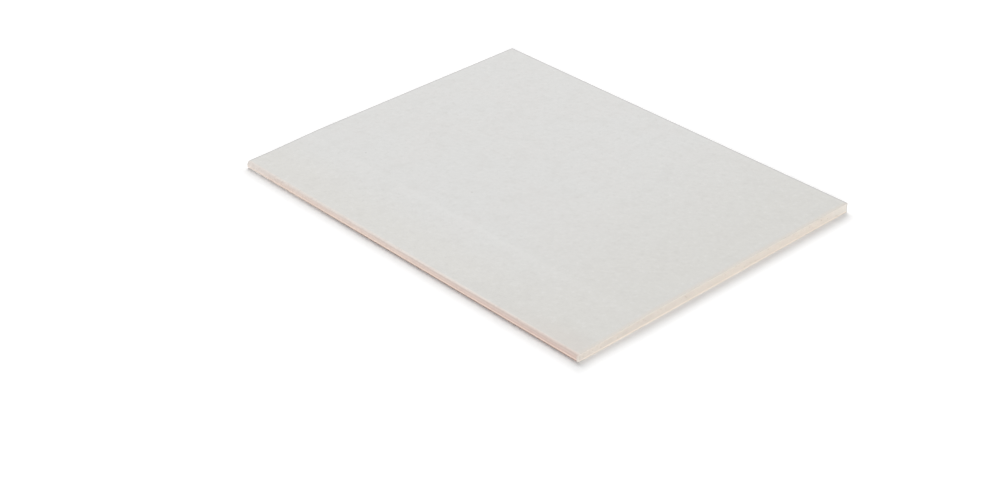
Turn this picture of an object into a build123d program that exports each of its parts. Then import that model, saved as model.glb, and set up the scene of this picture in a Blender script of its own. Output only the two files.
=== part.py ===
from build123d import *
import os

# A cut panel of gypsum board, lying face up on its back paper, in millimetres.
# X runs along the wrapped factory edge, Y from that edge to the cut edge opposite, and Z up
# from the back. The origin is the middle of the underside.

# The sheet
length = 450.0  # between the two cut ends
width = 350.0  # from the wrapped edge's nose to the cut edge
thickness = 9.5  # over both papers, clear of the taper

# The papers
face_paper_thickness = 0.4
back_paper_thickness = 0.35

# The tapered factory edge
taper_width = 90.0  # from the nose to where the face is flat
taper_depth = 2.1  # fall of the face at the edge
taper_shoulder_share = 0.18  # of the taper's run, the bend that leaves the flat face
taper_toe_share = 0.48  # of the taper's run, the bend that levels out at the edge
nose_face_radius = 3.4  # round the nose, on the side of the face
nose_back_radius = 0.9  # round the nose, on the side of the back

# The lap on the back
flap_width = 30.0  # folded face paper, from the nose inwards
back_paper_inset = 6.0  # from the nose to the edge of the back paper

# The section, looking along X
wrapped_side = -width / 2
cut_side = width / 2
edge_height = thickness - taper_depth
nose_height = edge_height - back_paper_thickness
largest_bend = 0.49 * nose_height  # two bends and a short flank share the nose
face_bend = min(nose_face_radius, largest_bend)
back_bend = min(nose_back_radius, largest_bend)
flap_end = wrapped_side + flap_width


def wrap_line(depth):
    # The face paper's way round the sheet, at this depth below its outer side:
    # flat face, taper, nose and flap.
    arris = wrapped_side + face_bend
    shoulder = wrapped_side + taper_width
    taper_run = shoulder - arris
    nose = wrapped_side + depth
    with BuildLine() as wrap:
        face = Line((cut_side, thickness - depth), (shoulder, thickness - depth))
        taper = Bezier(
            face @ 1,
            (shoulder - taper_shoulder_share * taper_run, thickness - depth),
            (arris + taper_toe_share * taper_run, edge_height - depth),
            (arris, edge_height - depth),
        )
        upper_bend = TangentArc(taper @ 1, (nose, edge_height - face_bend), tangent=taper % 1)
        flank = Line(upper_bend @ 1, (nose, back_paper_thickness + back_bend))
        lower_bend = TangentArc(
            flank @ 1,
            (wrapped_side + back_bend, back_paper_thickness + depth),
            tangent=flank % 1,
        )
        Line(lower_bend @ 1, (flap_end, back_paper_thickness + depth))
    return wrap.line


# Gypsum core: inside the wrap, with a rebate on the back that holds the flap
with BuildPart() as gypsum_core:
    with BuildSketch(Plane.YZ):
        with BuildLine():
            add(wrap_line(face_paper_thickness))
            Polyline(
                (flap_end, back_paper_thickness + face_paper_thickness),
                (flap_end, back_paper_thickness),
                (cut_side, back_paper_thickness),
                (cut_side, thickness - face_paper_thickness),
            )
        make_face()
    extrude(amount=length / 2, both=True)

# Face paper: one web over the face, round the nose and under the back
with BuildPart() as face_paper:
    with BuildSketch(Plane.YZ):
        with BuildLine():
            add(wrap_line(0))
            add(wrap_line(face_paper_thickness))
            Line((cut_side, thickness), (cut_side, thickness - face_paper_thickness))
            Line(
                (flap_end, back_paper_thickness),
                (flap_end, back_paper_thickness + face_paper_thickness),
            )
        make_face()
    extrude(amount=length / 2, both=True)

# Back paper: flat, lapped over the flap and set in from the nose
with BuildPart() as back_paper:
    with BuildSketch(Plane.YZ):
        with Locations((wrapped_side + back_paper_inset, 0)):
            Rectangle(
                width - back_paper_inset,
                back_paper_thickness,
                align=(Align.MIN, Align.MIN),
            )
    extrude(amount=length / 2, both=True)

gypsum_core.part.label = "gypsum_core"
face_paper.part.label = "face_paper"
back_paper.part.label = "back_paper"

os.makedirs("parts", exist_ok=True)
export_step(gypsum_core.part, "parts/gypsum_core.step")
export_step(face_paper.part, "parts/face_paper.step")
export_step(back_paper.part, "parts/back_paper.step")
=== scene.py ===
import bpy
import bmesh
import math
import random
from mathutils import Euler, Matrix, Vector


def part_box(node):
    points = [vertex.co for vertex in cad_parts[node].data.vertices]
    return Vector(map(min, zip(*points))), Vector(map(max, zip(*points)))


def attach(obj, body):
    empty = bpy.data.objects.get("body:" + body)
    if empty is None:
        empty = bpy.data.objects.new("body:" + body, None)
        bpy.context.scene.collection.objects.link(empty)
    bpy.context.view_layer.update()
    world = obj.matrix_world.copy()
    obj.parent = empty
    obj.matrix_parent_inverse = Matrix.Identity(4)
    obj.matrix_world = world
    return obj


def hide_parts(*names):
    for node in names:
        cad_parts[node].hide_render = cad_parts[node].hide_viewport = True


# A cut panel of gypsum board lying face up: X along the wrapped edge, Y across, Z up.
# Lengths are in metres and angles in degrees.

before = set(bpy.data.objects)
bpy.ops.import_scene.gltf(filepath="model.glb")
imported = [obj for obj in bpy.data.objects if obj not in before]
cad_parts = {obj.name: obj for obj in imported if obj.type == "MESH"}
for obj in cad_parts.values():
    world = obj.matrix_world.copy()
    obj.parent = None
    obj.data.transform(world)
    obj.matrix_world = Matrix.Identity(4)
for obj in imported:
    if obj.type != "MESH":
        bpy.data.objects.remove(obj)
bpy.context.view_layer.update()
faceLow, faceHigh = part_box("face_paper")
coreLow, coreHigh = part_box("gypsum_core")
backLow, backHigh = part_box("back_paper")
halfLength = faceHigh.x
noseSide = faceLow.y
cutSide = faceHigh.y
faceSheetDepth = faceHigh.z - coreHigh.z
backSheetDepth = backHigh.z - backLow.z
nearly = 0.00001  # what counts as the same place
print("frame loaded")

# The camera stands where the photograph was taken
photoCamera = {
    "place": (1.1412, -1.1048, 0.9206),
    "pitch": 31.873,
    "turn": 47.334,
    "roll": -0.580,
    "focalPixels": 1947.0,
    "pictureWidth": 1000,
    "sensor": 36.0,
}


def makeCamera(c):
    camera = bpy.data.objects.new("camera", bpy.data.cameras.new("camera"))
    bpy.context.scene.collection.objects.link(camera)
    camera.data.sensor_width = c["sensor"]
    camera.data.lens = c["focalPixels"] / c["pictureWidth"] * c["sensor"]
    camera.data.clip_start = 0.01
    camera.data.clip_end = 60.0
    aim = Euler((math.radians(90 - c["pitch"]), 0, math.radians(c["turn"]))).to_matrix()
    aim = aim @ Matrix.Rotation(math.radians(c["roll"]), 3, "Z")
    camera.rotation_euler = aim.to_euler()
    camera.location = c["place"]
    bpy.context.scene.camera = camera


makeCamera(photoCamera)
print("camera placed")


# Hand moves that every piece needs

def putDown():
    if bpy.context.mode != "OBJECT":
        bpy.ops.object.mode_set(mode="OBJECT")
    bpy.ops.object.select_all(action="DESELECT")


def pickUp(piece):
    putDown()
    piece.select_set(True)
    bpy.context.view_layer.objects.active = piece


def openUp(piece):
    pickUp(piece)
    bpy.ops.object.mode_set(mode="EDIT")
    bpy.ops.mesh.select_all(action="DESELECT")


def pickEdges(piece, rule):
    bpy.ops.mesh.select_mode(type="EDGE")
    bpy.ops.mesh.select_all(action="DESELECT")
    mesh = bmesh.from_edit_mesh(piece.data)
    for edge in mesh.edges:
        if rule(edge.verts[0].co, edge.verts[1].co):
            edge.select_set(True)
    bmesh.update_edit_mesh(piece.data)


def pickFaces(piece, rule):
    bpy.ops.mesh.select_mode(type="FACE")
    bpy.ops.mesh.select_all(action="DESELECT")
    mesh = bmesh.from_edit_mesh(piece.data)
    for face in mesh.faces:
        if rule(face.calc_center_median(), face.normal):
            face.select_set(True)
    bmesh.update_edit_mesh(piece.data)


def cutAcross(place, normal):
    bpy.ops.mesh.select_all(action="SELECT")
    bpy.ops.mesh.bisect(plane_co=place, plane_no=normal)


def settle(piece, name):
    # Put the piece's place into its mesh
    pickUp(piece)
    bpy.ops.object.transform_apply(location=True, rotation=True, scale=True)
    piece.name = name
    piece.data.name = name
    return piece


def applyModifier(piece, kind, **values):
    pickUp(piece)
    modifier = piece.modifiers.new(kind.title(), kind)
    for key, value in values.items():
        setattr(modifier, key, value)
    bpy.ops.object.modifier_apply(modifier=modifier.name)


def weigh(piece, name, rule):
    group = piece.vertex_groups.new(name=name)
    for point in piece.data.vertices:
        share = rule(point)
        if share > 0:
            group.add([point.index], share, "REPLACE")
    return name


def grain(name, size, depth=2):
    texture = bpy.data.textures.new(name, "CLOUDS")
    texture.noise_scale = size
    texture.noise_depth = depth
    return texture


def wear(piece, texture, direction, depth, group):
    # Push the weighted points back by up to this depth, unevenly
    applyModifier(
        piece, "DISPLACE", texture=texture, texture_coords="LOCAL", direction=direction,
        mid_level=0.0, strength=-depth, vertex_group=group,
    )


def pickSides(piece):
    # The points on the right end, the left end and the cut edge
    return (
        weigh(piece, "right", lambda p: p.co.x > halfLength - nearly),
        weigh(piece, "left", lambda p: p.co.x < nearly - halfLength),
        weigh(piece, "cut", lambda p: p.co.y > cutSide - nearly),
    )


def wearSides(piece, texture, depth, sides):
    right, left, cut = sides
    wear(piece, texture, "X", depth, right)
    wear(piece, texture, "X", -depth, left)
    wear(piece, texture, "Y", depth, cut)


def onCutRim(a, b):
    # An edge that lies along one of the three cut sides
    onEnd = min(abs(a.x), abs(b.x)) > halfLength - nearly
    return onEnd or min(a.y, b.y) > cutSide - nearly


def clearOfRims(point, low, fade):
    # 0 at the cut sides and at the long edge, 1 once further in than the fade
    inset = min(halfLength - abs(point.co.x), cutSide - point.co.y, point.co.y - low)
    return min(max(inset / fade, 0), 1)


# The section of the wrapped edge, as the part's source has it
wrappedEdge = {
    "taperWidth": 0.090,
    "taperDepth": 0.0021,
    "shoulderShare": 0.18,
    "toeShare": 0.48,
    "faceRadius": 0.0034,
    "backRadius": 0.0009,
    "flapWidth": 0.030,
}
edgeTop = faceHigh.z - wrappedEdge["taperDepth"]
shoulderSide = noseSide + wrappedEdge["taperWidth"]
arrisSide = noseSide + wrappedEdge["faceRadius"]
flapEnd = noseSide + wrappedEdge["flapWidth"]


def onShoulder(a, b):
    # An edge that lies along the line where the taper leaves the flat face
    return abs(a.y - shoulderSide) < nearly and abs(b.y - shoulderSide) < nearly


def taperPoint(t):
    # The taper is one Bezier curve from the flat face down to the nose
    run = shoulderSide - arrisSide
    points = (
        Vector((shoulderSide, faceHigh.z)),
        Vector((shoulderSide - wrappedEdge["shoulderShare"] * run, faceHigh.z)),
        Vector((arrisSide + wrappedEdge["toeShare"] * run, edgeTop)),
        Vector((arrisSide, edgeTop)),
    )
    u = 1 - t
    shares = (u ** 3, 3 * u * u * t, 3 * u * t * t, t ** 3)
    return sum((p * s for p, s in zip(points, shares)), Vector((0, 0)))


# Gypsum core: its cut sides are finely divided, worn and pitted

gypsumCore = {
    "cell": 0.0007,
    "rows": 13,
    "taperSteps": 110,
    "bendStep": 11.25,  # round the nose's upper bend
    "backBendAngles": (15, 32, 50, 66),  # round its lower bend
    "rebateSlope": 0.0002,
    "waveSize": 0.011,
    "waveDepth": 0.00010,
    "grainSize": 0.0011,
    "grainDepth": 0.00016,
    "wearDetail": 3,
    "pitsPerMetre": 420,
    "pitRadius": (0.00016, 0.00052),
    "pitSpread": 2.2,  # the higher, the fewer large ones
    "pitStretch": 1.7,
    "pitSunk": 0.5,  # most that a pit's middle lies in, as a share of its radius
    "pitLumps": 0.35,
    "pitLumpSize": 0.9,
    "pitReach": 1.25,  # room round a pit, as a share of its radius
    "pitClear": 0.00035,
    "pitFromNose": 0.004,
    "pitFromEnds": 0.002,
    "pitSeed": 41,
}


def bottomAt(y):
    # Underside of the core: flat, raised over the flap, round at the nose
    c = wrappedEdge["backRadius"]
    if y > flapEnd + nearly:
        return coreLow.z
    low = faceLow.z + faceSheetDepth
    inset = noseSide + c - y
    if inset <= 0:
        return low
    r = c - faceSheetDepth
    return low + r - math.sqrt(max(r * r - inset * inset, 0))


def topAtNose(y):
    r = wrappedEdge["faceRadius"] - faceSheetDepth
    inset = arrisSide - y
    return edgeTop - wrappedEdge["faceRadius"] + math.sqrt(max(r * r - inset * inset, 0))


def coreColumns(g):
    # Upright lines on the cut end from the shoulder to the nose: place, low end, top end
    columns = []
    for i in range(1, g["taperSteps"] + 1):
        place = taperPoint(i / g["taperSteps"])
        columns.append((place.x, bottomAt(place.x), place.y - faceSheetDepth))
    tops = [(y, top) for y, low, top in columns]
    for i, (y, low, top) in enumerate(columns):
        if y < flapEnd:
            before, after = tops[i - 1], tops[i]
            share = (flapEnd - before[0]) / (after[0] - before[0])
            z = before[1] + share * (after[1] - before[1])
            columns[i:i] = [
                (flapEnd + g["rebateSlope"], coreLow.z, z),
                (flapEnd, faceLow.z + faceSheetDepth, z),
            ]
            break
    bends = set()
    r = wrappedEdge["faceRadius"] - faceSheetDepth
    for i in range(1, round(90 / g["bendStep"]) + 1):
        bends.add(round(arrisSide - r * math.sin(math.radians(i * g["bendStep"])), 7))
    r = wrappedEdge["backRadius"] - faceSheetDepth
    for angle in g["backBendAngles"]:
        middle = noseSide + wrappedEdge["backRadius"]
        bends.add(round(middle - r * math.sin(math.radians(angle)), 7))
    for y in sorted(bends, reverse=True):
        columns.append((y, bottomAt(y), topAtNose(y)))
    return columns


def makePits(g, columns):
    # Air bubbles that the cut opened: one is modelled, its copies are strewn over the cut sides
    putDown()
    bpy.ops.mesh.primitive_ico_sphere_add(subdivisions=2, radius=1)
    first = bpy.context.object
    lumps = grain("pitShape", g["pitLumpSize"])
    applyModifier(first, "DISPLACE", texture=lumps, texture_coords="LOCAL", strength=g["pitLumps"])
    chance = random.Random(g["pitSeed"])
    profile = [(y, top) for y, low, top in columns] + [(cutSide, coreHigh.z)]
    profile.sort()

    def topAt(y):
        for (ya, za), (yb, zb) in zip(profile, profile[1:]):
            if ya <= y <= yb:
                return za + (zb - za) * (y - ya) / max(yb - ya, nearly)
        return coreHigh.z

    ends, nose = g["pitFromEnds"], g["pitFromNose"]
    sides = (
        ("right", halfLength, noseSide + nose, cutSide - ends),
        ("left", -halfLength, noseSide + nose, cutSide - ends),
        ("cut", cutSide, -halfLength + ends, halfLength - ends),
    )
    smallest, largest = g["pitRadius"]
    pits = []
    for side, plane, start, stop in sides:
        placed = []
        for i in range(round(g["pitsPerMetre"] * (stop - start))):
            along = chance.uniform(start, stop)
            size = smallest + (largest - smallest) * chance.random() ** g["pitSpread"]
            stretch = chance.uniform(1.0, g["pitStretch"])
            turn = chance.uniform(0, math.pi)
            sunk = chance.uniform(0.0, g["pitSunk"]) * size
            reach = size * stretch * g["pitReach"] + g["pitClear"]
            bottom, top = coreLow.z, coreHigh.z
            if side != "cut":
                bottom, top = bottomAt(along), topAt(along)
            z = chance.uniform(bottom + reach, top - reach)
            if any(math.hypot(along - a, z - b) < reach + c for a, b, c in placed):
                continue
            placed.append((along, z, reach))
            if side == "cut":
                place = (along, plane - sunk, z)
            else:
                place = (plane - math.copysign(sunk, plane), along, z)
            pit = first.copy()
            pit.data = first.data.copy()
            bpy.context.scene.collection.objects.link(pit)
            spin = Matrix.Rotation(turn, 4, "Y" if side == "cut" else "X")
            shape = Matrix.Diagonal((size, size, size * stretch, 1))
            pit.matrix_world = Matrix.Translation(place) @ spin @ shape
            pits.append(pit)
    putDown()
    bpy.data.objects.remove(first)
    for pit in pits:
        pit.select_set(True)
    bpy.context.view_layer.objects.active = pits[0]
    bpy.ops.object.join()
    return settle(bpy.context.object, "pits")


def makeGypsumCore(g):
    putDown()
    flat = cutSide - shoulderSide
    height = coreHigh.z - coreLow.z
    middle = (halfLength, shoulderSide + flat / 2, coreLow.z + height / 2)
    bpy.ops.mesh.primitive_grid_add(
        x_subdivisions=g["rows"], y_subdivisions=round(flat / g["cell"]), size=1,
        location=middle, rotation=(0, math.radians(90), 0),
    )
    core = bpy.context.object
    core.scale = (height, flat, 1)
    settle(core, "gypsumCore")
    openUp(core)
    pickEdges(core, onShoulder)
    columns = coreColumns(g)
    y, low, top = shoulderSide, coreLow.z, coreHigh.z
    for nextY, nextLow, nextTop in columns:
        step = (0, nextY - y, nextLow - low)
        bpy.ops.mesh.extrude_edges_move(TRANSFORM_OT_translate={"value": step})
        growth = (nextTop - nextLow) / (top - low)
        bpy.ops.transform.resize(value=(1, 1, growth), center_override=(halfLength, nextY, nextLow))
        y, low, top = nextY, nextLow, nextTop
    bpy.ops.mesh.select_all(action="SELECT")
    bpy.ops.mesh.extrude_region_move(TRANSFORM_OT_translate={"value": (-2 * halfLength, 0, 0)})
    pickEdges(core, lambda a, b: min(a.y, b.y) > cutSide - nearly and abs(a.x - b.x) > halfLength)
    bpy.ops.mesh.subdivide(number_cuts=round(2 * halfLength / g["cell"]) - 1)
    bpy.ops.mesh.select_all(action="SELECT")
    bpy.ops.mesh.normals_make_consistent(inside=False)
    settle(core, "gypsumCore")
    sides = pickSides(core)
    for size, depth in ((g["waveSize"], g["waveDepth"]), (g["grainSize"], g["grainDepth"])):
        wearSides(core, grain("gypsumWear", size, g["wearDetail"]), depth, sides)
    pits = makePits(g, columns)
    applyModifier(core, "BOOLEAN", operation="DIFFERENCE", solver="MANIFOLD", object=pits)
    bpy.data.objects.remove(pits)
    core.vertex_groups.clear()
    return core


core = makeGypsumCore(gypsumCore)
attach(core, "root")
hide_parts("gypsum_core")
print("gypsum core made")


# Face paper: one web over the face, round the nose and back under the sheet

facePaper = {
    "cell": 0.0025,
    "taperSteps": 30,
    "bendSteps": 8,
    "flapSteps": 6,
    "rimBand": 0.0010,
    "rimCuts": 3,
    "ragSize": 0.0013,
    "ragDepth": 0.00022,
    "cockleSize": 0.034,
    "cockleDepth": 0.00009,
    "cockleFade": 0.030,
    "creaseAngle": 22.5,  # up the nose's upper bend
    "creaseLift": (0, 0.00008, -0.00003),
    "lineWithin": 0.0001,  # how near a point is to count as on the crease or the belt's line
    "beltLine": 0.0785,  # in from the nose
    "beltLineWidth": 0.0042,
    "beltLineDepth": 0.00006,
}


def makeFacePaper(f):
    putDown()
    e = wrappedEdge
    flat = cutSide - shoulderSide
    bpy.ops.mesh.primitive_grid_add(
        x_subdivisions=round(2 * halfLength / f["cell"]), y_subdivisions=round(flat / f["cell"]),
        size=1, location=(0, shoulderSide + flat / 2, faceHigh.z),
    )
    web = bpy.context.object
    web.scale = (2 * halfLength, flat, 1)
    settle(web, "facePaper")
    openUp(web)
    pickEdges(web, onShoulder)
    before = taperPoint(0)
    for i in range(1, f["taperSteps"] + 1):
        point = taperPoint(i / f["taperSteps"])
        step = point - before
        bpy.ops.mesh.extrude_edges_move(TRANSFORM_OT_translate={"value": (0, step.x, step.y)})
        before = point
    quarter = math.radians(90)
    upper = (0, arrisSide, edgeTop - e["faceRadius"])
    lower = (0, noseSide + e["backRadius"], faceLow.z + e["backRadius"])
    bpy.ops.mesh.spin(steps=f["bendSteps"], angle=-quarter, center=upper, axis=(1, 0, 0))
    bpy.ops.mesh.extrude_edges_move(TRANSFORM_OT_translate={"value": (0, 0, lower[2] - upper[2])})
    bpy.ops.mesh.spin(steps=f["bendSteps"], angle=-quarter, center=lower, axis=(1, 0, 0))
    for i in range(f["flapSteps"]):
        along = (e["flapWidth"] - e["backRadius"]) / f["flapSteps"]
        bpy.ops.mesh.extrude_edges_move(TRANSFORM_OT_translate={"value": (0, along, 0)})
    bpy.ops.mesh.select_all(action="SELECT")
    bpy.ops.mesh.remove_doubles(threshold=nearly)
    # The crease that the paper was folded on, high on the nose
    turn = math.radians(f["creaseAngle"])
    creaseY = arrisSide - e["faceRadius"] * math.cos(turn)
    creaseZ = upper[2] + e["faceRadius"] * math.sin(turn)
    near = f["lineWithin"]

    def onCrease(a, b):
        return all(abs(p.y - creaseY) < near and abs(p.z - creaseZ) < near for p in (a, b))

    pickEdges(web, onCrease)
    bpy.ops.transform.translate(value=f["creaseLift"])
    # The very shallow line that the forming belt left along the taper
    line = noseSide + f["beltLine"]
    for offset in (-f["beltLineWidth"], 0, f["beltLineWidth"]):
        cutAcross((0, line + offset, 0), (0, 1, 0))

    def onBeltLine(a, b):
        return all(abs(p.y - line) < near and p.z > edgeTop for p in (a, b))

    pickEdges(web, onBeltLine)
    bpy.ops.transform.translate(value=(0, 0, -f["beltLineDepth"]))
    # Finer mesh along the cut sides
    cutAcross((halfLength - f["rimBand"], 0, 0), (1, 0, 0))
    cutAcross((f["rimBand"] - halfLength, 0, 0), (1, 0, 0))
    cutAcross((0, cutSide - f["rimBand"], 0), (0, 1, 0))
    pickEdges(web, onCutRim)
    bpy.ops.mesh.subdivide(number_cuts=f["rimCuts"])
    bpy.ops.mesh.select_all(action="SELECT")
    bpy.ops.mesh.normals_make_consistent(inside=False)
    settle(web, "facePaper")
    if max(web.data.polygons, key=lambda p: p.center.z).normal.z < 0:
        openUp(web)
        bpy.ops.mesh.select_all(action="SELECT")
        bpy.ops.mesh.flip_normals()
        putDown()
    skin = len(web.data.vertices)
    applyModifier(web, "SOLIDIFY", thickness=faceSheetDepth, offset=-1, use_even_offset=True)
    top = edgeTop - e["faceRadius"]

    def onFace(p):
        return clearOfRims(p, noseSide, f["cockleFade"]) if p.index < skin and p.co.z > top else 0

    outside = weigh(web, "outside", onFace)
    wear(web, grain("cockle", f["cockleSize"]), "NORMAL", f["cockleDepth"], outside)
    wearSides(web, grain("faceRag", f["ragSize"]), f["ragDepth"], pickSides(web))
    web.vertex_groups.clear()
    return web


web = makeFacePaper(facePaper)
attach(web, "root")
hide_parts("face_paper")
print("face paper made")


# Back paper: a flat liner, torn straight along its lap over the flap

backPaper = {
    "cell": 0.003,
    "rimBand": 0.0012,
    "rimCuts": 3,
    "ragSize": 0.0014,
    "ragDepth": 0.0002,
    "lapRagSize": 0.0035,
    "lapRagDepth": 0.0007,
    "lapRagDetail": 3,
    "cockleSize": 0.028,
    "cockleDepth": 0.00008,
    "cockleFade": 0.020,
}


def makeBackPaper(b):
    putDown()
    across = cutSide - backLow.y
    bpy.ops.mesh.primitive_grid_add(
        x_subdivisions=round(2 * halfLength / b["cell"]), y_subdivisions=round(across / b["cell"]),
        size=1, location=(0, backLow.y + across / 2, backLow.z),
    )
    liner = bpy.context.object
    liner.scale = (2 * halfLength, across, 1)
    settle(liner, "backPaper")
    openUp(liner)
    cutAcross((halfLength - b["rimBand"], 0, 0), (1, 0, 0))
    cutAcross((b["rimBand"] - halfLength, 0, 0), (1, 0, 0))
    cutAcross((0, cutSide - b["rimBand"], 0), (0, 1, 0))
    cutAcross((0, backLow.y + b["rimBand"], 0), (0, 1, 0))
    pickEdges(liner, lambda p, q: onCutRim(p, q) or max(p.y, q.y) < backLow.y + nearly)
    bpy.ops.mesh.subdivide(number_cuts=b["rimCuts"])
    bpy.ops.mesh.select_all(action="SELECT")
    bpy.ops.mesh.flip_normals()
    settle(liner, "backPaper")
    skin = len(liner.data.vertices)
    applyModifier(liner, "SOLIDIFY", thickness=backSheetDepth, offset=-1, use_even_offset=True)

    def onBack(p):
        return clearOfRims(p, backLow.y, b["cockleFade"]) if p.index < skin else 0

    outside = weigh(liner, "outside", onBack)
    wear(liner, grain("linerCockle", b["cockleSize"]), "NORMAL", b["cockleDepth"], outside)
    wearSides(liner, grain("linerRag", b["ragSize"]), b["ragDepth"], pickSides(liner))
    lap = weigh(liner, "lap", lambda p: p.co.y < backLow.y + nearly)
    wear(liner, grain("lapRag", b["lapRagSize"], b["lapRagDetail"]), "Y", -b["lapRagDepth"], lap)
    liner.vertex_groups.clear()
    return liner


liner = makeBackPaper(backPaper)
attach(liner, "root")
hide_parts("back_paper")
print("back paper made")


# Shader helpers: each adds one node or a few, and hands back what they put out

def addNode(tree, kind, **values):
    node = tree.nodes.new(kind)
    for key, value in values.items():
        setattr(node, key, value)
    return node


def feed(tree, socket, value):
    if isinstance(value, (int, float, tuple)):
        socket.default_value = value
    else:
        tree.links.new(value, socket)


def maths(tree, operation, a, b=0.0):
    node = addNode(tree, "ShaderNodeMath", operation=operation)
    feed(tree, node.inputs[0], a)
    feed(tree, node.inputs[1], b)
    return node.outputs[0]


def ramp(tree, value, low, high, toLow=0.0, toHigh=1.0):
    node = addNode(tree, "ShaderNodeMapRange", interpolation_type="SMOOTHSTEP")
    for i, given in enumerate((value, low, high, toLow, toHigh)):
        feed(tree, node.inputs[i], given)
    return node.outputs[0]


def slope(tree, value, start, spec):
    # A ramp between two offsets from start, given with what it puts out at each
    low, high, toLow, toHigh = spec
    return ramp(tree, value, start + low, start + high, toLow, toHigh)


def band(tree, value, start, spec):
    # A soft line at an offset from start: this share within inner of it, none beyond outer
    offset, inner, outer, share = spec
    away = maths(tree, "ABSOLUTE", maths(tree, "SUBTRACT", value, start + offset))
    return ramp(tree, away, inner, outer, share, 0.0)


def cloud(tree, vector, scale, detail=2.0, rough=0.5):
    node = addNode(tree, "ShaderNodeTexNoise")
    feed(tree, node.inputs["Vector"], vector)
    feed(tree, node.inputs["Scale"], scale)
    feed(tree, node.inputs["Detail"], detail)
    feed(tree, node.inputs["Roughness"], rough)
    return node.outputs[0]


def dots(tree, vector, scale, full, gone):
    # Round spots scattered evenly, full within one distance of their middle, gone at another
    node = addNode(tree, "ShaderNodeTexVoronoi")
    feed(tree, node.inputs["Vector"], vector)
    node.inputs["Scale"].default_value = scale
    return ramp(tree, node.outputs["Distance"], full, gone, 1.0, 0.0)


def tint(tree, base, colour, share):
    node = addNode(tree, "ShaderNodeMix", data_type="RGBA")
    feed(tree, node.inputs[0], share)
    feed(tree, node.inputs[6], base)
    feed(tree, node.inputs[7], colour)
    return node.outputs[2]


def stretch(tree, vector, sizes, turn=(0, 0, 0)):
    node = addNode(tree, "ShaderNodeMapping")
    feed(tree, node.inputs["Vector"], vector)
    node.inputs["Scale"].default_value = sizes
    node.inputs["Rotation"].default_value = [math.radians(angle) for angle in turn]
    return node.outputs[0]


def split(tree, vector):
    node = addNode(tree, "ShaderNodeSeparateXYZ")
    feed(tree, node.inputs[0], vector)
    return node.outputs


def tone(red, green, blue):
    # A colour given in picture levels, 0 to 255
    levels = [level / 255 for level in (red, green, blue)]
    return tuple(s / 12.92 if s <= 0.04045 else ((s + 0.055) / 1.055) ** 2.4 for s in levels) + (1.0,)


def newEffect(name, inputs, outputs):
    effect = bpy.data.node_groups.new(name, "ShaderNodeTree")
    effect.interface.new_socket(name="Vector", in_out="INPUT", socket_type="NodeSocketVector")
    for label, value in inputs.items():
        socket = effect.interface.new_socket(name=label, in_out="INPUT", socket_type="NodeSocketFloat")
        socket.default_value = value
    for label in outputs:
        effect.interface.new_socket(name=label, in_out="OUTPUT", socket_type="NodeSocketFloat")
    given = effect.nodes.new("NodeGroupInput").outputs
    return effect, given, effect.nodes.new("NodeGroupOutput").inputs


pulpFibres = {
    "sizes": (330, 2100, 330),
    "turns": (9, 68, 127),
    "sparse": 0.78,  # the noise above which a strand shows, at density 0
    "denser": 0.35,  # how much lower that is at density 1
    "soft": 0.08,
    "fleckScale": 95.0,
    "fleckSize": (0.03, 0.075),
    "fineCloud": (1500.0, 3.0, 0.6),
    "strandHeight": 0.6,
}


def makePulpFibres(p):
    # Short pulp fibres pressed flat, lying every way, with the fine unevenness between them
    inputs = {"Density": 0.3, "Fineness": 1.0}
    effect, given, out = newEffect("pulpFibres", inputs, ("Fibres", "Flecks", "Height"))
    place = addNode(effect, "ShaderNodeVectorMath", operation="SCALE")
    feed(effect, place.inputs[0], given["Vector"])
    feed(effect, place.inputs["Scale"], given["Fineness"])
    place = place.outputs[0]
    denser = maths(effect, "MULTIPLY", given["Density"], p["denser"])
    start = maths(effect, "SUBTRACT", p["sparse"], denser)
    strands = None
    for turn in p["turns"]:
        strand = cloud(effect, stretch(effect, place, p["sizes"], (0, 0, turn)), 1.0, 1.0)
        strand = ramp(effect, strand, start, maths(effect, "ADD", start, p["soft"]))
        strands = strand if strands is None else maths(effect, "MAXIMUM", strands, strand)
    fine = cloud(effect, place, *p["fineCloud"])
    raised = maths(effect, "MULTIPLY", strands, p["strandHeight"])
    feed(effect, out["Fibres"], strands)
    feed(effect, out["Flecks"], dots(effect, place, p["fleckScale"], *p["fleckSize"]))
    feed(effect, out["Height"], maths(effect, "ADD", fine, raised))
    return effect


cutRim = {
    "width": 0.0012,
    "fullWithin": 0.45,  # of the width
}


def makeCutRim(c):
    # How near a point is to one of the three cut sides: 0 further in, 1 at the cut.
    # Far Only puts the right end this much out of reach.
    effect, given, out = newEffect("cutRim", {"Width": c["width"], "Far Only": 0.0}, ("Rim",))
    x, y = split(effect, given["Vector"])[:2]
    inset = maths(effect, "MULTIPLY", given["Width"], -1.0)
    full = maths(effect, "MULTIPLY", given["Width"], -c["fullWithin"])
    leftward = maths(effect, "SUBTRACT", maths(effect, "MULTIPLY", x, -1.0), halfLength)
    rightward = maths(effect, "SUBTRACT", x, maths(effect, "ADD", halfLength, given["Far Only"]))
    backward = maths(effect, "SUBTRACT", y, cutSide)
    nearest = maths(effect, "MAXIMUM", maths(effect, "MAXIMUM", leftward, rightward), backward)
    feed(effect, out["Rim"], ramp(effect, nearest, inset, full))
    return effect


fibres = makePulpFibres(pulpFibres)
rim = makeCutRim(cutRim)


def newFinish(name, rough, gloss):
    # The roughness is even until a finish feeds it
    finish = bpy.data.materials.new(name)
    finish.use_nodes = True
    tree = finish.node_tree
    shader = tree.nodes["Principled BSDF"]
    shader.inputs["Roughness"].default_value = rough
    shader.inputs["Specular IOR Level"].default_value = gloss
    return finish, tree, shader, addNode(tree, "ShaderNodeTexCoord").outputs["Object"]


def useEffect(tree, effect, vector, **values):
    node = addNode(tree, "ShaderNodeGroup", node_tree=effect)
    feed(tree, node.inputs["Vector"], vector)
    for key, value in values.items():
        node.inputs[key].default_value = value
    return node.outputs


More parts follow.
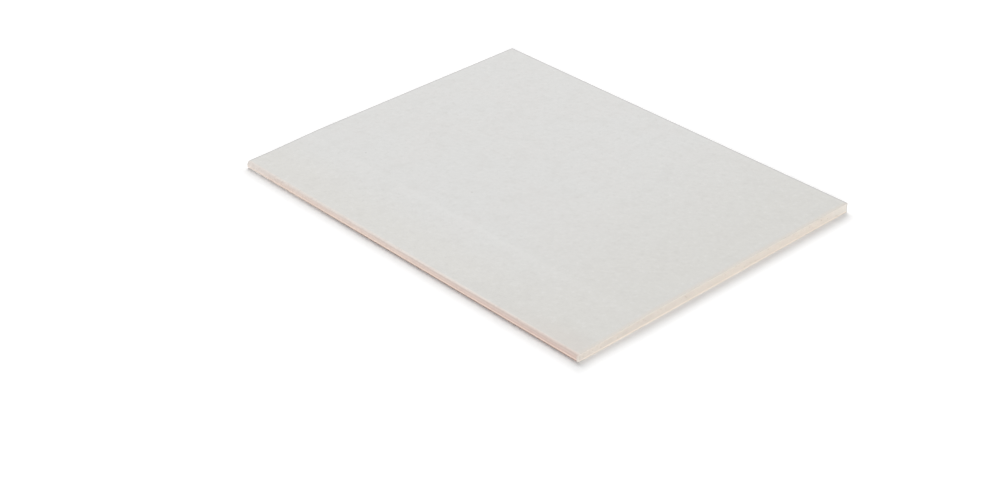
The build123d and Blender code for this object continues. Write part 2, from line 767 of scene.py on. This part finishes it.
def addBump(tree, shader, height, strength, distance):
    bump = addNode(tree, "ShaderNodeBump")
    bump.inputs["Strength"].default_value = strength
    bump.inputs["Distance"].default_value = distance
    feed(tree, bump.inputs["Height"], height)
    feed(tree, shader.inputs["Normal"], bump.outputs[0])


# In the finishes, four numbers are a slope: from, to, and what it gives at each. Places are counted
# from the side or height named in the code below. Where the name ends in Band, the four are a soft
# line: its middle, full within, gone beyond, and its share. Where it ends in Cloud, the numbers are
# a noise's scale, detail and roughness.

facePaperFinish = {
    "meanRough": 0.88,
    "gloss": 0.25,
    "rough": (0.3, 0.7, 0.80, 0.96),
    "bump": (0.3, 0.00003),
    # The face
    "grey": tone(220.8, 220.8, 219.2),
    "warmGrey": tone(221.0, 220.4, 218.6),
    "blotchCloud": (17.0, 3.0),
    "blotch": (0.35, 0.65, 0.0, 1.0),
    "edgeGrey": tone(220.5, 218.8, 214),
    "edgeRun": (0.075, 0.015),
    "edgeShare": (0.0, 0.15, 0.65, 0.3),
    # Painted shade: the face darker towards the right end, as where the light falls off
    "paintedFalloffGrey": tone(213, 211, 204.5),
    "paintedFalloffShare": 0.48,
    "fibreDensity": 0.5,
    "fibreShare": 0.18,
    "lightFibre": tone(230, 229, 227),
    # Dark fibre, and also the painted shade past the belt's line
    "darkFibreAndShade": tone(200, 198, 194),
    "mottleCloud": (210.0, 4.0, 0.55),
    "mottleLight": (0.5, 0.8, 0.0, 0.55),
    "mottleDark": (0.5, 0.2, 0.0, 0.33),
    "patchCloud": (75.0, 1.0),
    "patchDark": (0.45, 0.75, 0.0, 0.12),
    # Painted highlight beside the belt's line and painted shade past it, then the highlight's run
    # along it
    "paintedBeltHighlight": tone(231, 230, 228),
    "beltHighlightSoftBand": (-0.007, 0.002, 0.009, 0.10),
    "beltHighlightSharpBand": (-0.004, 0.001, 0.004, 0.06),
    "paintedBeltShadeBand": (0.0045, 0.001, 0.0035, 0.03),
    "beltHighlightAlongBand": (0.03, 0.07, 0.20, 1.0),
    "beltHighlightLeast": 0.6,
    "speck": tone(150, 145, 138),
    "specks": ((-0.029, -0.061), (-0.156, -0.084)),
    "speckSize": (0.0003, 0.0011, 0.4, 0.0),
    # The nose, from the arris down
    # Painted highlight where the paper bends down, reaching up the nose
    "paintedFoldHighlight": tone(232, 224.5, 218.5),
    "foldHighlightAcross": (0.0006, -0.0010, 0.0, 0.9),
    "foldHighlightUpNose": (-0.0034, -0.0012, 0.0, 0.4),
    "nose": tone(219, 201, 190),
    "noseUp": (-0.0014, -0.0003, 1.0, 0.0),
    "noseDrop": (-0.245, 0.0, 0.0, 0.0006),
    "noseLeft": tone(224, 216, 209.5),
    "leftTip": (0.06, 0.002, 0.0, 1.0),
    "leftHalf": (0.165, 0.05, 0.0, 0.15),
    "noseNear": tone(201, 178.5, 168.5),
    "nearRun": (-0.305, 0.0, 0.0, 1.0),
    # Painted shade along the crease; the same colour also marks the nose's fibres
    "creaseShadeAndFibre": tone(190, 173, 164),
    "paintedCreaseShadeBand": (-0.0014, 0.0002, 0.0008, 0.48),
    "creaseShadeAlong": (-0.16, 0.06, 0.0, 0.8),
    "creaseShadeNear": (0.14, 0.18, 0.0, 0.2),
    "wanderCloud": (38.0, 2.0),
    "wander": (0.3, 0.7, -0.0002, 0.0002),
    # Painted highlight low on the nose
    "paintedLipHighlight": tone(238, 219, 208),
    "lipHighlightBand": (0.0023, 0.0002, 0.0008, 0.65),
    # Painted shade where the paper turns under
    "underside": tone(124, 97, 88),
    "undersideShadeUp": (0.0016, 0.0008, 0.0, 1.0),
    "undersideShadeIn": (0.0010, 0.0004, 0.0, 1.0),
    "undersideShadeAlong": (0.005, 0.195, 0.0, 0.85),
    "wornMottle": (0.50, 0.28, 0.0, 0.32),
    "wornFibres": 0.2,
    # The cut ends
    "sawnNose": tone(217, 207, 198),
    "sawnNoseIn": (-0.0022, -0.0012, 0.0, 1.0),
    "sawnNoseUp": (-0.0003, -0.0014, 0.0, 1.0),
    "cutEndRim": tone(221, 214, 206),
    "sawnIn": (-0.0055, 0.0, 0.0, 0.8),
    "sawnUp": (-0.0006, 0.0, 0.0, 1.0),
    "rim": tone(198, 197, 196),
    "rimWidth": 0.0022,
    "rimFarOnly": 0.01,
    "rimAcross": (0.0, 0.006, 0.3, 0.75),
}


def paintFace(tree, f, place, mottle, pulp):
    x, y = split(tree, place)[:2]
    blotch = slope(tree, cloud(tree, place, *f["blotchCloud"]), 0.0, f["blotch"])
    colour = tint(tree, f["grey"], f["warmGrey"], blotch)
    warm = slope(tree, x, 0.0, f["edgeShare"])
    edge = slope(tree, y, noseSide, (*f["edgeRun"], 0.0, warm))
    colour = tint(tree, colour, f["edgeGrey"], edge)
    # Painted shade: darker towards the right end, as where the light falls off
    paintedFalloff = ramp(tree, x, 0.0, halfLength, 0.0, f["paintedFalloffShare"])
    colour = tint(tree, colour, f["paintedFalloffGrey"], paintedFalloff)
    colour = tint(tree, colour, f["lightFibre"], slope(tree, mottle, 0.0, f["mottleLight"]))
    colour = tint(tree, colour, f["darkFibreAndShade"], slope(tree, mottle, 0.0, f["mottleDark"]))
    patches = slope(tree, cloud(tree, place, *f["patchCloud"]), 0.0, f["patchDark"])
    colour = tint(tree, colour, f["darkFibreAndShade"], patches)
    strands = maths(tree, "MULTIPLY", pulp["Fibres"], f["fibreShare"])
    colour = tint(tree, colour, f["darkFibreAndShade"], strands)
    # Painted highlight before the belt's line and painted shade past it, strongest in the middle of
    # the sheet
    line = noseSide + facePaper["beltLine"]
    soft = band(tree, y, line, f["beltHighlightSoftBand"])
    pale = maths(tree, "ADD", soft, band(tree, y, line, f["beltHighlightSharpBand"]))
    fade = maths(tree, "MAXIMUM", band(tree, x, 0.0, f["beltHighlightAlongBand"]), f["beltHighlightLeast"])
    colour = tint(tree, colour, f["paintedBeltHighlight"], maths(tree, "MULTIPLY", pale, fade))
    colour = tint(tree, colour, f["darkFibreAndShade"], band(tree, y, line, f["paintedBeltShadeBand"]))
    # A few dark specks of recycled fibre
    for spot in f["specks"]:
        apart = addNode(tree, "ShaderNodeVectorMath", operation="DISTANCE")
        feed(tree, apart.inputs[0], place)
        apart.inputs[1].default_value = (*spot, faceHigh.z)
        dot = slope(tree, apart.outputs["Value"], 0.0, f["speckSize"])
        colour = tint(tree, colour, f["speck"], dot)
    return colour


def paintNose(tree, f, colour, place, mottle, pulp):
    # Painted highlight where the paper bends down and high on the nose, then warmer round the nose,
    # most at the near corner
    x, y, z = split(tree, place)
    paintedFoldHighlight = slope(tree, y, arrisSide, f["foldHighlightAcross"])
    colour = tint(tree, colour, f["paintedFoldHighlight"], paintedFoldHighlight)
    skin = tint(tree, f["nose"], f["noseLeft"], slope(tree, x, -halfLength, f["leftTip"]))
    skin = tint(tree, skin, f["noseLeft"], slope(tree, x, -halfLength, f["leftHalf"]))
    skin = tint(tree, skin, f["noseNear"], slope(tree, x, halfLength, f["nearRun"]))
    skin = tint(tree, skin, f["paintedFoldHighlight"], slope(tree, z, edgeTop, f["foldHighlightUpNose"]))
    dropped = maths(tree, "SUBTRACT", z, slope(tree, x, halfLength, f["noseDrop"]))
    colour = tint(tree, colour, skin, slope(tree, dropped, edgeTop, f["noseUp"]))
    # Painted shade along the crease, wandering a little
    wander = slope(tree, cloud(tree, place, *f["wanderCloud"]), 0.0, f["wander"])
    creaseShadeAndFibre = band(tree, maths(tree, "ADD", z, wander), edgeTop, f["paintedCreaseShadeBand"])
    along = slope(tree, x, 0.0, f["creaseShadeAlong"])
    along = maths(tree, "ADD", along, slope(tree, x, 0.0, f["creaseShadeNear"]))
    colour = tint(tree, colour, f["creaseShadeAndFibre"], maths(tree, "MULTIPLY", creaseShadeAndFibre, along))
    # A painted highlight low on the nose
    colour = tint(tree, colour, f["paintedLipHighlight"], band(tree, z, faceLow.z, f["lipHighlightBand"]))
    # Painted shade where the paper turns under
    under = slope(tree, z, faceLow.z, f["undersideShadeUp"])
    under = maths(tree, "MULTIPLY", under, slope(tree, y, noseSide, f["undersideShadeIn"]))
    under = maths(tree, "MULTIPLY", under, slope(tree, x, -halfLength, f["undersideShadeAlong"]))
    colour = tint(tree, colour, f["underside"], under)
    # The nose is as fibrous as the face
    worn = maths(tree, "MULTIPLY", pulp["Fibres"], f["wornFibres"])
    worn = maths(tree, "MAXIMUM", slope(tree, mottle, 0.0, f["wornMottle"]), worn)
    return tint(tree, colour, f["creaseShadeAndFibre"], maths(tree, "MULTIPLY", worn, paintedFoldHighlight))


def paintCutEnds(tree, f, colour, place):
    x, y, z = split(tree, place)
    sawnNose = slope(tree, x, halfLength, f["sawnNoseIn"])
    sawnNose = maths(tree, "MULTIPLY", sawnNose, slope(tree, z, edgeTop, f["sawnNoseUp"]))
    colour = tint(tree, colour, f["sawnNose"], sawnNose)
    sawn = slope(tree, x, halfLength, f["sawnIn"])
    sawn = maths(tree, "MULTIPLY", sawn, slope(tree, z, edgeTop, f["sawnUp"]))
    colour = tint(tree, colour, f["cutEndRim"], sawn)
    reach = {"Width": f["rimWidth"], "Far Only": f["rimFarOnly"]}
    edge = useEffect(tree, rim, place, **reach)["Rim"]
    edge = maths(tree, "MULTIPLY", edge, slope(tree, y, noseSide, f["rimAcross"]))
    return tint(tree, colour, f["rim"], edge)


def makeFacePaperFinish(f):
    finish, tree, shader, place = newFinish("facePaperFinish", f["meanRough"], f["gloss"])
    mottle = cloud(tree, place, *f["mottleCloud"])
    pulp = useEffect(tree, fibres, place, Density=f["fibreDensity"])
    colour = paintFace(tree, f, place, mottle, pulp)
    colour = paintNose(tree, f, colour, place, mottle, pulp)
    colour = paintCutEnds(tree, f, colour, place)
    feed(tree, shader.inputs["Base Color"], colour)
    feed(tree, shader.inputs["Roughness"], slope(tree, mottle, 0.0, f["rough"]))
    addBump(tree, shader, pulp["Height"], *f["bump"])
    return finish


gypsumFinish = {
    "meanRough": 0.95,
    "gloss": 0.15,
    "rough": (0.3, 0.7, 0.88, 1.0),
    "bump": (0.5, 0.0001),
    "cream": tone(216, 207.5, 198.5),
    "farCream": tone(231.5, 221.5, 210),
    "pale": tone(231, 222, 211),
    "paleCloud": (55.0, 3.0),
    "clouded": (0.35, 0.65, 0.0, 0.3),
    "grainCloud": (1300.0, 3.0, 0.7),
    "grainPale": (0.52, 0.75, 0.0, 0.6),
    "deep": tone(209, 198, 185),
    "grainDeep": (0.48, 0.25, 0.0, 0.7),
    "shadow": tone(191, 178, 164),
    "poreScale": 620.0,
    "poreSize": (0.10, 0.26),
    "poreShare": 0.35,
    # Up the cut sides from the floor
    "greyed": tone(219.5, 213.5, 206),
    "greyedUp": (0.0060, 0.0088, 0.0, 0.6),
    # A painted highlight along the foot, strongest on the right end
    "paintedFootHighlight": tone(252, 241, 229),
    "footHighlightBand": (0.0006, 0.0004, 0.0012, 0.95),
    "footHighlightRight": (-0.003, -0.001, 0.4, 1.0),
    # Towards the far corners, and the painted shade into the pits
    "cornerCream": tone(231, 226, 218),
    "cornerRun": (-0.045, -0.002, 0.0, 0.8),
    # Painted shade in the pits
    "pit": tone(168, 152, 136),
    "pitShadeIn": (0.00020, 0.00036, 0.0, 0.85),
    "rim": tone(206, 204, 199),
    "rimRun": (-0.0022, -0.0008, 0.0, 0.7),
    "onEnd": (-0.0006, -0.0004, 0.0, 1.0),
}


def makeGypsumFinish(g):
    finish, tree, shader, place = newFinish("gypsumFinish", g["meanRough"], g["gloss"])
    x, y, z = split(tree, place)
    colour = tint(tree, g["cream"], g["farCream"], ramp(tree, y, noseSide, cutSide))
    clouded = slope(tree, cloud(tree, place, *g["paleCloud"]), 0.0, g["clouded"])
    colour = tint(tree, colour, g["pale"], clouded)
    grains = cloud(tree, place, *g["grainCloud"])
    colour = tint(tree, colour, g["pale"], slope(tree, grains, 0.0, g["grainPale"]))
    colour = tint(tree, colour, g["deep"], slope(tree, grains, 0.0, g["grainDeep"]))
    pores = dots(tree, place, g["poreScale"], *g["poreSize"])
    colour = tint(tree, colour, g["shadow"], maths(tree, "MULTIPLY", pores, g["poreShare"]))
    # Greyer high up the cut sides, and a painted highlight along their foot, strongest on the right
    # end
    colour = tint(tree, colour, g["greyed"], slope(tree, z, 0.0, g["greyedUp"]))
    colour = tint(tree, colour, g["cornerCream"], slope(tree, y, cutSide, g["cornerRun"]))
    paintedFootHighlight = band(tree, z, 0.0, g["footHighlightBand"])
    paintedFootHighlight = maths(tree, "MULTIPLY", paintedFootHighlight, slope(tree, x, halfLength, g["footHighlightRight"]))
    colour = tint(tree, colour, g["paintedFootHighlight"], paintedFootHighlight)
    # Painted shade in the opened bubbles, darker the deeper they go
    fromMiddle = maths(tree, "ABSOLUTE", x)
    inward = maths(tree, "SUBTRACT", halfLength, fromMiddle)
    inward = maths(tree, "MINIMUM", inward, maths(tree, "SUBTRACT", cutSide, y))
    colour = tint(tree, colour, g["pit"], slope(tree, inward, 0.0, g["pitShadeIn"]))
    # Greyer down the upright corners at the cut side
    corner = slope(tree, fromMiddle, halfLength, g["onEnd"])
    corner = maths(tree, "MULTIPLY", corner, slope(tree, y, cutSide, g["rimRun"]))
    colour = tint(tree, colour, g["rim"], corner)
    feed(tree, shader.inputs["Base Color"], colour)
    feed(tree, shader.inputs["Roughness"], slope(tree, grains, 0.0, g["rough"]))
    addBump(tree, shader, maths(tree, "SUBTRACT", grains, pores), *g["bump"])
    return finish


backPaperFinish = {
    "meanRough": 0.92,
    "gloss": 0.2,
    "rough": (0.3, 1.1, 0.84, 0.98),
    "bump": (0.5, 0.00005),
    "liner": tone(198, 189, 176),
    "pale": tone(213, 205, 193),
    "blotchCloud": (26.0, 4.0),
    "blotch": (0.35, 0.65, 0.0, 0.6),
    "fibreDensity": 0.8,
    "fibreFineness": 0.8,
    "dark": tone(166, 155, 140),
    "fibreShare": 0.45,
    "fleck": tone(132, 122, 110),
    "fleckShare": 0.5,
    "rim": tone(184, 174, 160),
    "rimWidth": 0.002,
    "rimShare": 0.5,
}


def makeBackPaperFinish(b):
    finish, tree, shader, place = newFinish("backPaperFinish", b["meanRough"], b["gloss"])
    blotch = slope(tree, cloud(tree, place, *b["blotchCloud"]), 0.0, b["blotch"])
    colour = tint(tree, b["liner"], b["pale"], blotch)
    density, fineness = b["fibreDensity"], b["fibreFineness"]
    pulp = useEffect(tree, fibres, place, Density=density, Fineness=fineness)
    colour = tint(tree, colour, b["dark"], maths(tree, "MULTIPLY", pulp["Fibres"], b["fibreShare"]))
    colour = tint(tree, colour, b["fleck"], maths(tree, "MULTIPLY", pulp["Flecks"], b["fleckShare"]))
    edge = useEffect(tree, rim, place, Width=b["rimWidth"])["Rim"]
    colour = tint(tree, colour, b["rim"], maths(tree, "MULTIPLY", edge, b["rimShare"]))
    feed(tree, shader.inputs["Base Color"], colour)
    feed(tree, shader.inputs["Roughness"], slope(tree, pulp["Height"], 0.0, b["rough"]))
    addBump(tree, shader, pulp["Height"], *b["bump"])
    return finish


tornPaper = {
    "within": 0.0006,  # of a cut side
    "facing": 0.6,  # least that a face's normal points out of that side
    "level": 0.5,  # most that it points up or down
    "meanRough": 0.95,
    "gloss": 0.1,
    "rough": (0.3, 0.7, 0.88, 1.0),
    "bump": (0.6, 0.00005),
    "plySizes": (900, 900, 9000),
    "plies": (0.4, 0.65, 0.0, 1.0),
    "faceTorn": (tone(224, 217, 209), tone(217, 210, 202)),
    # The back paper's torn side, lightened into a painted highlight along the foot
    "backTornAndHighlight": (tone(239, 228, 215), tone(222, 210, 196)),
}


def makeTornFinish(name, t):
    # The raw side of a cut paper: thin plies with loose fibre
    finish, tree, shader, place = newFinish(name, t["meanRough"], t["gloss"])
    plies = cloud(tree, stretch(tree, place, t["plySizes"]), 1.0)
    colour = tint(tree, *t[name], slope(tree, plies, 0.0, t["plies"]))
    feed(tree, shader.inputs["Base Color"], colour)
    feed(tree, shader.inputs["Roughness"], slope(tree, plies, 0.0, t["rough"]))
    addBump(tree, shader, plies, *t["bump"])
    return finish


smoothBelow = 35


def dress(piece, finish, torn=None):
    piece.data.materials.clear()
    piece.data.materials.append(finish)
    if torn:
        piece.data.materials.append(torn)
        openUp(piece)
        within, facing = tornPaper["within"], tornPaper["facing"]

        def onCut(centre, normal):
            if abs(normal.z) > tornPaper["level"]:
                return False
            onEnd = abs(centre.x) > halfLength - within and abs(normal.x) > facing
            return onEnd or (centre.y > cutSide - within and normal.y > facing)

        pickFaces(piece, onCut)
        piece.active_material_index = 1
        bpy.ops.object.material_slot_assign()
    pickUp(piece)
    bpy.ops.object.shade_smooth_by_angle(angle=math.radians(smoothBelow))
    putDown()


dress(core, makeGypsumFinish(gypsumFinish))
dress(web, makeFacePaperFinish(facePaperFinish), makeTornFinish("faceTorn", tornPaper))
# The back paper's torn side carries a painted highlight along the foot
dress(liner, makeBackPaperFinish(backPaperFinish), makeTornFinish("backTornAndHighlight", tornPaper))
print("finishes made")


# Studio: a pale floor that keeps the sheet's shadow, a large lamp behind and a small one in front

studio = {
    "skyStrength": 0.18,
    "lamps": {
        "key": {"place": (-4.4, 3.95, 5.3), "size": 8.0, "power": 701.0},
        "fill": {"place": (3.2, -3.4, 1.2), "size": 2.2, "power": 192.0},
    },
    "floorSize": 14.0,
    "floorColour": tone(247, 247, 247),
    "shadowFrom": 0.004,
    "shadowTo": 0.024,
    "whiteFrom": 0.04,
    "whiteTo": 0.40,
    "shadowLift": 0.04,
    "nearLift": 0.22,
    "farLift": 0.80,
    "litSides": 3.0,  # times shorter on the two sides that face the key
}


def seenDirectly(tree):
    # 1 where the camera looks, straight or by reflection, and 0 for the light itself
    paths = addNode(tree, "ShaderNodeLightPath").outputs
    seen = maths(tree, "MAXIMUM", paths["Is Camera Ray"], paths["Is Glossy Ray"])
    return maths(tree, "MAXIMUM", seen, paths["Is Transmission Ray"])


def makeStudio(s):
    putDown()
    bpy.ops.mesh.primitive_grid_add(x_subdivisions=4, y_subdivisions=4, size=s["floorSize"])
    floor = bpy.context.object
    floor.name = "floor"
    finish, tree, shader, place = newFinish("floorFinish", rough=1.0, gloss=0.0)
    shader.inputs["Base Color"].default_value = s["floorColour"]
    shader.inputs["Emission Color"].default_value = (1, 1, 1, 1)
    # White from a little way off the sheet, darker close to it, where its shadow lies
    x, y = split(tree, place)[:2]
    right = maths(tree, "SUBTRACT", x, halfLength)
    left = maths(tree, "MULTIPLY", maths(tree, "ADD", x, halfLength), -s["litSides"])
    front = maths(tree, "SUBTRACT", noseSide, y)
    back = maths(tree, "MULTIPLY", maths(tree, "SUBTRACT", y, cutSide), s["litSides"])
    beside = maths(tree, "MAXIMUM", right, left)
    away = maths(tree, "MAXIMUM", beside, maths(tree, "MAXIMUM", front, back))
    lift = ramp(tree, away, s["shadowFrom"], s["shadowTo"], s["shadowLift"], s["nearLift"])
    lift = ramp(tree, away, s["whiteFrom"], s["whiteTo"], lift, s["farLift"])
    feed(tree, shader.inputs["Emission Strength"], maths(tree, "MULTIPLY", seenDirectly(tree), lift))
    floor.data.materials.append(finish)
    for name, lamp in s["lamps"].items():
        light = bpy.data.lights.new(name, "AREA")
        light.shape = "DISK"
        light.size = lamp["size"]
        light.energy = lamp["power"]
        stand = bpy.data.objects.new(name, light)
        bpy.context.scene.collection.objects.link(stand)
        stand.location = lamp["place"]
        stand.rotation_euler = (-Vector(lamp["place"])).to_track_quat("-Z", "Y").to_euler()
    world = bpy.data.worlds.new("studio")
    bpy.context.scene.world = world
    world.use_nodes = True
    sky = world.node_tree
    background = sky.nodes["Background"]
    background.inputs["Color"].default_value = (1, 1, 1, 1)
    strength = ramp(sky, seenDirectly(sky), 0.0, 1.0, s["skyStrength"], 1.0)
    feed(sky, background.inputs["Strength"], strength)
    bpy.context.scene.view_settings.view_transform = "Standard"


makeStudio(studio)
print("studio lit")
